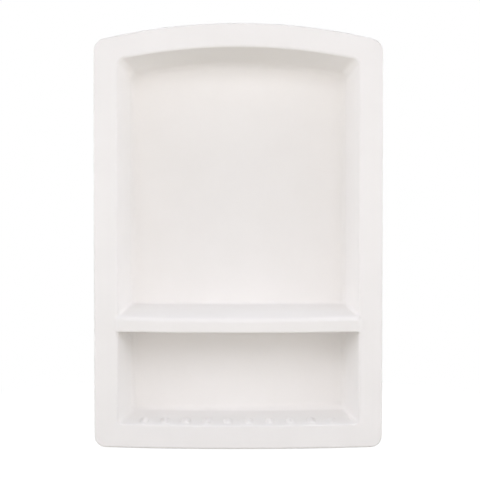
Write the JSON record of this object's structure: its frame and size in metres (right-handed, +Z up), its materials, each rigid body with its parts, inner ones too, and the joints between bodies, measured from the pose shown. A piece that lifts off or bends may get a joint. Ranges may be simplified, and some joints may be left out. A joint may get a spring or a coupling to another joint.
{
  "type": "recessed soap dish",
  "caption": "White recessed shower shelf moulded in one piece: arched flange, drafted niche, bow-fronted shelf and a soap compartment with small ribs.",
  "frame": {"origin": "middle of the flange's width and height, in the plane of the finished wall, which is the back of the flange", "axes": "+X to the right seen from the room, +Y into the wall, +Z up"},
  "size_m": [0.387, 0.124, 0.571],
  "materials": {
    "moulding": "smooth warm white solid-surface moulding with a soft satin gloss"
  },
  "bodies": {
    "root": {"recessed_shelf": "moulding"}
  },
  "joints": []
}
